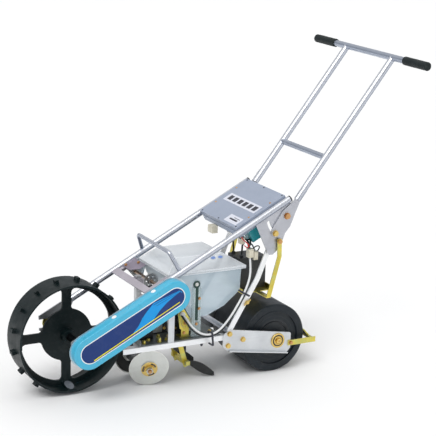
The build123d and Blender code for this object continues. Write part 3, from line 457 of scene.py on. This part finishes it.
# ---------------------------------------------------------------- chain cover
run = SHAFT - AXLE
run.y = 0
CASE_RUN = run.length / MM
case_u = run.normalized()
case_v = Vector((-case_u.z, 0, case_u.x))
cover_low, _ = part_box("chain_cover")
CASE_DROP = 4.0
CASE = Place(Vector((AXLE.x, cover_low[1], AXLE.z)) - case_v * CASE_DROP * MM, case_u, case_v)
CASE_R = 46.0
DECAL_R = 29.0
DECAL_BORDER = 2.6
DECAL_LIFT = 0.25
# a runs up the case from the front axle, and b is off its middle line.

bm = bmesh.new()
prism(bm, CASE, obround(CASE_RUN, DECAL_R), 0.02, DECAL_LIFT)
piece("cover_decal_border", bm, TRIMS["decal_white"], "frame")
bm = bmesh.new()
prism(bm, CASE, obround(CASE_RUN, DECAL_R - DECAL_BORDER), DECAL_LIFT - 0.1, DECAL_LIFT + 0.15)
piece("cover_decal_field", bm, TRIMS["decal_navy"], "frame")
bm = bmesh.new()
sweep_low = [(125, -21.2), (208, -19.8), (303, -12), (306, 6)]
sweep_high = [(301, 13), (220, 24), (193, 14), (172, 4), (154, -9)]
prism(bm, CASE, sweep_low + sweep_high, DECAL_LIFT, DECAL_LIFT + 0.3)
piece("cover_decal_sweep", bm, TRIMS["decal_sky"], "frame")
bm = bmesh.new()
wedge = [(196, -20.2), (302, -14.4), (306, -2), (303, 7.5), (282, 7.0), (254, 2.6), (226, -6.0), (208, -14.2)]
prism(bm, CASE, wedge, DECAL_LIFT + 0.1, DECAL_LIFT + 0.45)
for start, rise, end, drop, thick in ((226, 11.5, 303, 7.6, 1.1), (218, 18.6, 301, 11.6, 1.9)):
    stripe = [(start, rise), (end, drop), (end, drop + 0.9), (start - 4, rise + thick)]
    prism(bm, CASE, stripe, DECAL_LIFT + 0.1, DECAL_LIFT + 0.45)
piece("cover_decal_stripes", bm, TRIMS["decal_navy"], "frame")
bm = bmesh.new()
line = [(0, -21.6), (0.6, -24.2), (288, -19.6), (288, -17.4)]
prism(bm, CASE, line, DECAL_LIFT + 0.2, DECAL_LIFT + 0.6)
piece("cover_decal_line", bm, TRIMS["decal_yellow"], "frame")

# Round snap clips hold the cover along its top edge.
CLIP_TOP = Place(CASE(0, CASE_R, -16), case_u, (0, 1, 0))
CLIP = [(0, -0.5), (7.2, -0.5), (7.2, 1.0), (5.8, 2.2), (2.4, 2.4), (0, 1.6)]
for k, along in enumerate((107.5, 238.0)):
    bm = bmesh.new()
    turned(bm, CLIP_TOP, along, 0, CLIP, 28)
    piece(f"cover_clip_{k + 1}", bm, TRIMS["decal_white"], "frame")

# ---------------------------------------------------------------- control box
# On the lid, a runs up the slope from its front edge, and b is along Y.
TUBE_RISE = math.radians(27.8)
BOX_LONG = 176.0
BOX_HALF = 108.0
BLOCKS = 6
BLOCK_STEP = 28
box_low, box_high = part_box("control_box_lid")
lid_z = box_high[2] - BOX_LONG * MM * math.sin(TUBE_RISE)
LID = Place((box_low[0], 0, lid_z), (math.cos(TUBE_RISE), 0, math.sin(TUBE_RISE)), (0, 1, 0))
bm = bmesh.new()
prism(bm, LID, rounded(72, 105, -95, 87), 0.02, 0.30)
prism(bm, LID, rounded(8, 38, -93, -23), 0.02, 0.30)
piece("lid_labels", bm, TRIMS["label_white"], "frame")
bm = bmesh.new()
for k in range(BLOCKS):
    prism(bm, LID, rounded(79, 98, BLOCK_STEP * k - 86, BLOCK_STEP * k - 66, 1.0), 0.25, 0.42)
prism(bm, LID, rounded(19, 25, -80, -38, 0.8), 0.25, 0.42)
prism(bm, LID, rounded(29, 31, -84, -52, 0.6), 0.25, 0.42)
piece("lid_label_bars", bm, TRIMS["ink"], "frame")
bm = bmesh.new()
for a in (52.5, 129.3):
    for b in (-98.5, 98.5):
        dome_head(bm, LID, a, b, 0, 3.2, 1.8)
piece("lid_screws_copper", bm, MATERIALS["copper_bolt"], "frame")
bm = bmesh.new()
for a in (171, 5):
    for b in (101, 2, -101):
        dome_head(bm, LID, a, b, 0, 2.6, 1.5)
piece("lid_screws_black", bm, TRIMS["ink"], "frame")
bm = bmesh.new()
for b in (-BOX_HALF, BOX_HALF):
    prism(bm, LID, rounded(6, 62, b - 0.9, b + 0.9, 0.8), -24, -13)
piece("box_side_slots", bm, TRIMS["ink"], "frame")
bm = bmesh.new()
prism(bm, LID, rounded(-0.8, 1.3, -96, 96, 0.9), -30.5, -14, 0.3)
piece("box_front_rib", bm, MATERIALS["lavender_box"], "frame")

# ---------------------------------------------------------------- discs and roller
# The spin axis leans forwards and down, as the record's joints do.
DISC_X = 222.0
DISC_Y = 66.0
DISC_Z = 57.0
HUB_PLATE = [(13.3, 7.4), (13.3, 8.4), (15.2, 9.0), (19.4, 9.0), (22.6, 8.6), (23.6, 7.6), (23.6, 7.4)]
HUB_RING = [(7.6, 12.9), (12.6, 12.9), (12.6, 8), (13.4, 8), (13.4, 13.3), (7.6, 13.3)]
# Profile of a dark shell on each disc's inner face: painted shadow.
INNER_SHADOW_SHELL = [(22, 2.3), (54, -1.9), (54, -2.4), (22, 1.8)]
SLOT_STEPS = [0.2 * k for k in range(6)]
for side, hand in ((-1, "left"), (1, "right")):
    axis = Vector((-0.27, side * 0.93, -0.23)).normalized()
    flat_u = Vector((0, 0, 1)).cross(axis).normalized()
    centre = (AX + DISC_X * MM, side * DISC_Y * MM, DISC_Z * MM)
    face = Place(centre, flat_u, axis.cross(flat_u))
    body = f"opener_disc_{hand}"
    bm = bmesh.new()
    turned(bm, face, 0, 0, HUB_PLATE, 48, hoop=True)
    turned(bm, face, 0, 0, HUB_RING, 40, hoop=True)
    piece(f"disc_hub_{hand}", bm, MATERIALS["gold_bolt"], body)
    bm = bmesh.new()
    for k in range(3):
        turn = 0.4 + k * 2 * math.pi / 3
        outer = [(20.6 * math.cos(turn + t), 20.6 * math.sin(turn + t)) for t in SLOT_STEPS]
        inner = [(16.4 * math.cos(turn + t), 16.4 * math.sin(turn + t)) for t in SLOT_STEPS]
        prism(bm, face, outer + inner[::-1], 8.7, 9.25)
    piece(f"disc_hub_slots_{hand}", bm, TRIMS["ink"], body)
    # Painted shadow: a dark shell on each disc's inner face stands for the shade that falls there.
    bm = bmesh.new()
    turned(bm, face, 0, 0, INNER_SHADOW_SHELL, 56, hoop=True)
    piece(f"disc_inner_painted_shadow_{hand}", bm, TRIMS["disc_shadow"], body)
    bm = bmesh.new()
    bolt_head(bm, face, 0, 0, 18.5, 10, 5.5, 1.2)
    piece(f"disc_nut_{hand}", bm, MATERIALS["copper_bolt"], "opener")

ROLLER = middle("roller_tyre")
ROLLER_A = (ROLLER.x - AX) / MM
ROLLER_B = ROLLER.z / MM
COLLAR_BASE = 117.6
COLLAR_RINGS = ((17.2, 22.0, 120.4), (10.6, 13.6, 121.2))
COLLAR_GROOVE = [(13.6, 117.9), (17.2, 117.9), (17.2, 118.9), (13.6, 118.9)]
SIDES = ((-1, LEFT, "left"), (1, RIGHT, "right"))
for side, view, hand in SIDES:
    b = ROLLER_B * -side
    bm = bmesh.new()
    for inner, outer, top in COLLAR_RINGS:
        crown = [(inner, top - 0.5), (inner + 0.7, top), (outer - 0.7, top), (outer, top - 0.6)]
        collar = [(inner, COLLAR_BASE)] + crown + [(outer, COLLAR_BASE)]
        turned(bm, view, ROLLER_A, b, collar, 48, hoop=True)
    piece(f"roller_axle_collar_{hand}", bm, MATERIALS["gold_bolt"], "frame")
    bm = bmesh.new()
    turned(bm, view, ROLLER_A, b, COLLAR_GROOVE, 48, hoop=True)
    piece(f"roller_axle_groove_{hand}", bm, TRIMS["ink"], "frame")
    bm = bmesh.new()
    dome_head(bm, view, ROLLER_A, b, 124.1, 4.6, 2.6)
    piece(f"roller_axle_tip_{hand}", bm, MATERIALS["copper_bolt"], "frame")
    bm = bmesh.new()
    bolt_head(bm, view, 655, 90 * -side, 120.2, 9, 5)
    piece(f"scraper_bolt_{hand}", bm, MATERIALS["copper_bolt"], "frame")
    # Moulding lines stand a hair proud of the roller's end, inside its bead.
    bm = bmesh.new()
    for radius, height in ((48.0, 92.6), (66.0, 91.2)):
        inner, outer = radius - 0.6, radius + 0.6
        ring = [(inner, height - 3.2), (inner, height), (outer, height), (outer, height - 3.2)]
        turned(bm, view, ROLLER_A, b, ring, 64, hoop=True)
    piece(f"roller_end_lines_{hand}", bm, MATERIALS["roller_core"], "press_roller")

bm = bmesh.new()
blade = [(713.6, 110.6), (716.2, 112.4), (730.5, 96.2), (728.0, 94.2)]
prism(bm, LEFT, blade, -88, 88, 0.3)
piece("scraper_blade", bm, TRIMS["scraper_rubber"], "frame")

# ---------------------------------------------------------------- fasteners on the frame
MOTOR_AXIS = (322, 186)
bm = bmesh.new()
for a, b in ((361, 254.5), (360.5, 225), (353, 180)):
    bolt_head(bm, LEFT, a, b, 96.1, 6.5, 3.4)
piece("shutter_guide_bolts", bm, MATERIALS["copper_bolt"], "frame")
bm = bmesh.new()
bolt_head(bm, LEFT, *MOTOR_AXIS, 90.6, 9, 4.5)
bolt_head(bm, LEFT, 318, 156, 88.6, 7, 4.0)
piece("motor_bracket_bolts", bm, MATERIALS["copper_bolt"], "frame")
bm = bmesh.new()
turned(bm, LEFT, *MOTOR_AXIS, [(0, 88.6), (13.4, 88.6), (13.4, 89.8), (12.4, 90.7), (0, 90.9)], 40)
piece("motor_end_cap", bm, MATERIALS["gold_zinc"], "frame")
bm = bmesh.new()
gland = [(3.2, 93), (7.4, 93), (7.4, 97.6), (6.4, 99.4), (4.6, 100.6), (3.2, 100.6)]
turned(bm, LEFT, 310, 213, gland, 8, hoop=True)
piece("motor_gland_nut", bm, MATERIALS["white_bush"], "frame")
bm = bmesh.new()
turned(bm, LEFT, 353, 296, [(0, 92.2), (5.3, 92.2), (5.3, 94.6), (4.2, 95.8), (0, 96.0)], 28)
piece("shutter_knob", bm, MATERIALS["white_bush"], "shutter")
for side, view, hand in SIDES:
    bm = bmesh.new()
    bolt_head(bm, view, 597, 405 * -side, 128.2, 12, 6)
    piece(f"strap_bolt_{hand}", bm, MATERIALS["copper_bolt"], "frame")
    bm = bmesh.new()
    washer = [(16, 125.1), (16, 126.2), (22.5, 126.2), (23.6, 125.1)]
    turned(bm, view, 6, AXLE.z / MM * -side, washer, 40, hoop=True)
    piece(f"fork_washer_{hand}", bm, MATERIALS["gold_zinc"], "frame")

# On the base plate, a is x from the front axle and b is along Y.
BASE_TOP = 142.5
BASE = Place((AX, 0, BASE_TOP * MM), (1, 0, 0), (0, 1, 0))
bm = bmesh.new()
for a, b in ((345, -47.6), (298, -49), (282.5, -62), (298, 49), (345, 47.6), (410, -70), (410, 70)):
    bolt_head(bm, BASE, a, b, 0, 8, 4.6)
piece("base_plate_bolts", bm, MATERIALS["gold_bolt"], "frame")

# The base plate runs on forwards between the rails, open in the middle for the post.
bm = bmesh.new()
for side in (-1, 1):
    edge = 108.5 * side
    strip = [(172, 12 * side), (277.6, 12 * side), (277.6, edge), (172, edge)]
    prism(bm, BASE, strip[::side], -2.2, -0.1, 0.3)
    flange = [(172, 13 * side), (174, 13 * side), (174, edge), (172, edge)]
    prism(bm, BASE, flange[::side], -0.2, 15, 0.3)
piece("base_plate_front", bm, TRIMS["dull_plate"], "frame")
bm = bmesh.new()
front_bolts = ((186, -58, 6), (192, -92, 9), (214, -74, 6), (238, -96, 12), (252, -60, 8), (264, -88, 6))
for a, b, height in front_bolts:
    for mirror in (-1, 1):
        bolt_head(bm, BASE, a, b * mirror, -0.2, 9, height)
piece("base_plate_front_bolts", bm, MATERIALS["gold_zinc"], "frame")
bm = bmesh.new()
for mirror in (-1, 1):
    block = [(196, 44), (232, 44), (232, 66), (196, 66)]
    prism(bm, BASE, [(a, b * mirror) for a, b in block][::mirror], -0.2, 20, 1.5)
piece("base_plate_stops", bm, TRIMS["black_oxide"], "frame")
bm = bmesh.new()
for a, b in ((243, 156), (243, 178), (262, 200), (285, 156), (320, 152), (376, 156), (376, 184)):
    bolt_head(bm, LEFT, a, b, 30.1, 6.5, 3.6)
piece("meter_housing_bolts", bm, MATERIALS["gold_bolt"], "frame")
bm = bmesh.new()
prism(bm, LEFT, [(248, 146), (278, 146), (278, 196), (268, 208), (248, 208)], 30.2, 32.4, 0.3)
prism(bm, LEFT, [(292, 146), (306, 146), (306, 205), (292, 205)], 30.2, 36.0, 0.5)
piece("meter_cheek", bm, MATERIALS["zinc_plate"], "frame")
bm = bmesh.new()
prism(bm, LEFT, [(359, 125), (369, 125), (366, 117), (362, 117)], 109.5, 112.5, 0.4)
piece("rail_tab", bm, TRIMS["ink"], "frame")

# A plate closes the far corner of the seeding frame; the toothed wheel shows beside it.
SEED_TOP = Place((AX + 204 * MM, 0, 301.3 * MM), (math.cos(TUBE_RISE), 0, math.sin(TUBE_RISE)), (0, 1, 0))
bm = bmesh.new()
prism(bm, SEED_TOP, [(14, 62), (14, 106), (57, 106), (57, 30), (34, 30)], 2.3, 4.0, 0.3)
piece("seeding_top_plate", bm, TRIMS["mauve_dark"], "frame")
bm = bmesh.new()
for a, b in ((22, 98), (50, 66)):
    bolt_head(bm, SEED_TOP, a, b, 4.0, 7, 3.6)
piece("seeding_plate_bolts", bm, MATERIALS["copper_bolt"], "frame")

# A wing nut on the strut, where the leads are clipped.
WING_NUT = (505.3, 230.3)
bm = bmesh.new()
turned(bm, LEFT, *WING_NUT, [(0, 113.2), (5.2, 113.2), (4.6, 119.5), (0, 120)], 20)
for turn in (0.6, 0.6 + math.pi):
    tip = Vector((math.cos(turn), math.sin(turn)))
    side_way = Vector((-tip.y, tip.x))
    wing = [(3, -2.2), (11, -1.2), (13.5, 2.4), (4, 2.2)]
    points = [tip * reach + side_way * over for reach, over in wing]
    prism(bm, LEFT, [(WING_NUT[0] + p.x, WING_NUT[1] + p.y) for p in points], 115.5, 118.2, 0.5)
piece("strut_wing_nut", bm, MATERIALS["gold_bolt"], "frame")

# ---------------------------------------------------------------- front wheel spoke foot with a painted highlight
WHEEL = middle("front_wheel_rim")
# A light grey oval on the spoke foot at the rim's bottom: a painted highlight where the black moulding faces
# up.
spoke_foot_face = Place((AX, WHEEL.y - 2 * MM, WHEEL.z - 136 * MM), (0, -44.5, -11), (1, 0, 0))
bm = bmesh.new()
turns = [2 * math.pi * k / 32 for k in range(32)]
oval = [(23 + 20.5 * math.cos(t), 12.2 * math.sin(t)) for t in turns]
prism(bm, spoke_foot_face, oval, -0.6, 0.7, 0.3)
piece("wheel_spoke_foot_highlight", bm, TRIMS["spoke_foot_highlight"], "front_wheel")

# ---------------------------------------------------------------- hopper lid marks
bm = bmesh.new()
LID_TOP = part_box("hopper_lid")[1][2]
LID_FACE = Place((AX + 375 * MM, -60.2 * MM, LID_TOP), (1, 0, 0), (0, 33.5, 36))
for a in (40, 63):
    oval = [(a + 7.5 * math.cos(t), -14 + 4.2 * math.sin(t)) for t in turns]
    prism(bm, LID_FACE, oval, 0.05, 0.4)
piece("lid_marks", bm, TRIMS["mark_blue"], "hopper_lid")

# ---------------------------------------------------------------- leads
LEAD_ROUTE = [
    (310.0, -98, 213),
    (313.0, -116, 203),
    (329, -125, 178),
    (356, -127, 158),
    (384, -127, 153),
    (410, -127, 162),
    (434, -126, 183),
    (453, -126, 207),
    (470, -125, 232),
    (486, -123, 256),
    (501, -119, 280),
    (513, -112, 304),
    (519, -104, 330),
    (520, -96, 358),
]


def beside(route, gap, inward):
    """A second lead's points, set beside the first by the gap given."""
    points = []
    last = len(route) - 1
    for k, (x, y, z) in enumerate(route):
        before, after = route[max(k - 1, 0)], route[min(k + 1, last)]
        run_x, run_z = after[0] - before[0], after[2] - before[2]
        aside = gap / math.hypot(run_x, run_z)
        points.append((x + run_z * aside, y + inward * k / last, z - run_x * aside))
    return points


WHITE_R, BLACK_R, LEAD_GAP = 3.0, 2.6, 6.0
white_lead = wire("motor_lead_white", LEAD_ROUTE, WHITE_R, MATERIALS["lead_white"], "frame")
black_route = beside(LEAD_ROUTE, LEAD_GAP, 2)
black_lead = wire("motor_lead_black", black_route, BLACK_R, TRIMS["lead_black"], "frame")
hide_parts("motor_leads")
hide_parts("motor_leads")

# Radius, finish and route of each wire between the box, the battery and the connectors.
HARNESS = {
    "harness_battery": (
        2.8,
        "lead_black",
        [
            (533, -24, 345), (532, -28, 362), (524, -42, 378),
            (517, -60, 388), (508, -76, 398), (500, -82, 400),
        ],
    ),
    "harness_battery_far": (
        2.8,
        "lead_black",
        [(533, 24, 345), (530, 22, 366), (520, 4, 386), (516, -20, 398), (514, -44, 412), (512, -52, 440)],
    ),
    "harness_box_a": (
        2.6,
        "lead_black",
        [(490, -70, 428), (494, -74, 420), (510, -80, 412), (520, -86, 398), (521, -90, 382)],
    ),
    "harness_box_b": (
        2.4,
        "lead_black",
        [(484, -88, 426), (486, -90, 420), (490, -90, 416), (494, -88, 412)],
    ),
    "harness_box_c": (
        2.2,
        "wire_grey",
        [(500, -50, 434), (508, -56, 420), (528, -66, 396), (540, -80, 386), (539, -88, 372)],
    ),
    "harness_loop": (
        1.8,
        "lead_black",
        [(526, -98, 382), (530, -106, 392), (540, -110, 394), (546, -104, 384), (542, -96, 372)],
    ),
    "harness_coil": (
        2.4,
        "lead_black",
        [
            (516, -96, 386), (512, -92, 400), (520, -82, 410),
            (530, -78, 402), (526, -86, 390), (518, -88, 384),
        ],
    ),
    "wire_red": (
        1.5,
        "wire_red",
        [
            (488, -94, 428), (490, -100, 416), (504, -102, 404),
            (514, -102, 394), (508, -98, 386), (502, -92, 394),
        ],
    ),
    "wire_far_connector": (
        1.8,
        "lead_black",
        [(474, 30, 424), (482, 22, 430), (490, 8, 431), (496, -4, 432)],
    ),
}
for name, (radius, finish, points) in HARNESS.items():
    wire(name, points, radius, TRIMS[finish], "frame")


def cable_tie(name, centre, along, reach, drop):
    """A cable tie: a flat band round the rail or strut and the leads beside it."""
    place = Place(centre, along.cross(Vector((0, 1, 0))), (0, 1, 0))
    thick, half_wide = 1.4, 2.8
    outer = rounded(-drop, drop, -reach, reach, 2.0)
    inner = rounded(thick - drop, drop - thick, thick - reach, reach - thick, 1.4)
    bm = bmesh.new()
    rings = []
    for outline, height in ((outer, -half_wide), (outer, half_wide), (inner, half_wide), (inner, -half_wide)):
        rings.append([bm.verts.new(place(a, b, height)) for a, b in outline])
    count = len(outer)
    for low, high in zip(rings, rings[1:] + rings[:1]):
        for k in range(count):
            j = (k + 1) % count
            bm.faces.new((low[k], low[j], high[j], high[k]))
    return piece(name, bm, TRIMS["ink"], "frame")


strut_way = Vector((86, 0, 146)).normalized()
upper_tie = Vector((AX + 493 * MM, -117 * MM, 260 * MM))
lower_tie = Vector((AX + 388 * MM, -120.5 * MM, 140 * MM))
cable_tie("cable_tie_upper", upper_tie, strut_way, 12.5, 15)
cable_tie("cable_tie_lower", lower_tie, Vector((1, 0, 0.1)), 12.5, 19.5)

# Small latches and pins of the connector blocks.
LATCHES = ((520.5, 370.5, 102.5, 12, 20), (538, 361, 99.0, 11, 19), (497, 407, 92.0, 11, 14))
bm = bmesh.new()
for a, b, face_at, wide, tall in LATCHES:
    foot = b - tall / 2
    shell = rounded(a - wide / 2, a + wide / 2, foot, b + tall / 2, 1.0)
    prism(bm, LEFT, shell, face_at, face_at + 1.4, 0.4)
    for k in range(3):
        pin = a + (k - 1) * wide / 3.4
        prism(bm, LEFT, rounded(pin - 0.9, pin + 0.9, foot - 2.2, foot + 3, 0.6), face_at, face_at + 2.2)
piece("connector_latches", bm, MATERIALS["cream_connector"], "frame")

# ---------------------------------------------------------------- stage
floor_nodes = Nodes("studio_floor")
floor_nodes.color(floor_nodes.mix(floor_nodes.noise(2.5, 2), (0.91, 0.91, 0.91), (0.93, 0.93, 0.93)))
floor_nodes.set(Roughness=0.7)
bm = bmesh.new()
bmesh.ops.create_grid(bm, x_segments=2, y_segments=2, size=80)
floor_mesh = bpy.data.meshes.new("studio_floor")
bm.to_mesh(floor_mesh)
bm.free()
floor = bpy.data.objects.new("studio_floor", floor_mesh)
bpy.context.collection.objects.link(floor)
floor.data.materials.append(floor_nodes.mat)

world = bpy.data.worlds.new("studio")
scene.world = world
world.use_nodes = True
wt = world.node_tree
sky = wt.nodes["Background"]
sky.inputs[1].default_value = 0.80
wcoord = wt.nodes.new("ShaderNodeTexCoord")
wsplit = wt.nodes.new("ShaderNodeSeparateXYZ")
wt.links.new(wcoord.outputs["Generated"], wsplit.inputs[0])
ramp = wt.nodes.new("ShaderNodeValToRGB")
wt.links.new(wsplit.outputs["Z"], ramp.inputs[0])
ramp.color_ramp.elements[0].position = 0.0
ramp.color_ramp.elements[0].color = (0.34, 0.37, 0.42, 1)
ramp.color_ramp.elements[1].position = 0.22
ramp.color_ramp.elements[1].color = (0.55, 0.58, 0.63, 1)
top = ramp.color_ramp.elements.new(0.45)
top.color = (1.0, 1.0, 1.0, 1)
wt.links.new(ramp.outputs[0], sky.inputs[0])


def area_light(name, place, target, size, power):
    """A round soft light that faces a target."""
    data = bpy.data.lights.new(name, "AREA")
    data.shape = "DISK"
    data.size = size
    data.energy = power
    obj = bpy.data.objects.new(name, data)
    bpy.context.collection.objects.link(obj)
    obj.location = place
    obj.rotation_euler = (Vector(target) - Vector(place)).to_track_quat("-Z", "Y").to_euler()


area_light("fill", (2.6, -2.6, 1.6), (0, 0, 0.4), 2.2, 8)
sun_data = bpy.data.lights.new("key", "SUN")
sun_data.energy = 1.5
sun_data.angle = math.radians(30)
sun = bpy.data.objects.new("key", sun_data)
bpy.context.collection.objects.link(sun)
sun.rotation_euler = Vector((2.0, 1.6, -3.4)).to_track_quat("-Z", "Y").to_euler()

# ---------------------------------------------------------------- camera
AZ, EL, ROLL = math.radians(-28.68), math.radians(14.69), math.radians(1.87)
right = Vector((math.cos(AZ), math.sin(AZ), 0))
back = Vector((math.sin(AZ) * math.cos(EL), -math.cos(AZ) * math.cos(EL), math.sin(EL)))
up = back.cross(right)
rolled_right = math.cos(ROLL) * right + math.sin(ROLL) * up
rolled_up = -math.sin(ROLL) * right + math.cos(ROLL) * up
cam_data = bpy.data.cameras.new("camera")
cam_data.sensor_width = 36.0
cam_data.lens = 124.34
cam_data.clip_end = 300
CAMERA_AT = (-1.94176, -3.66678, 1.55088)
camera = bpy.data.objects.new("camera", cam_data)
bpy.context.collection.objects.link(camera)
turn = Matrix((rolled_right, rolled_up, back)).transposed()
camera.matrix_world = Matrix.Translation(CAMERA_AT) @ turn.to_4x4()
scene.camera = camera
scene.view_settings.view_transform = "Standard"
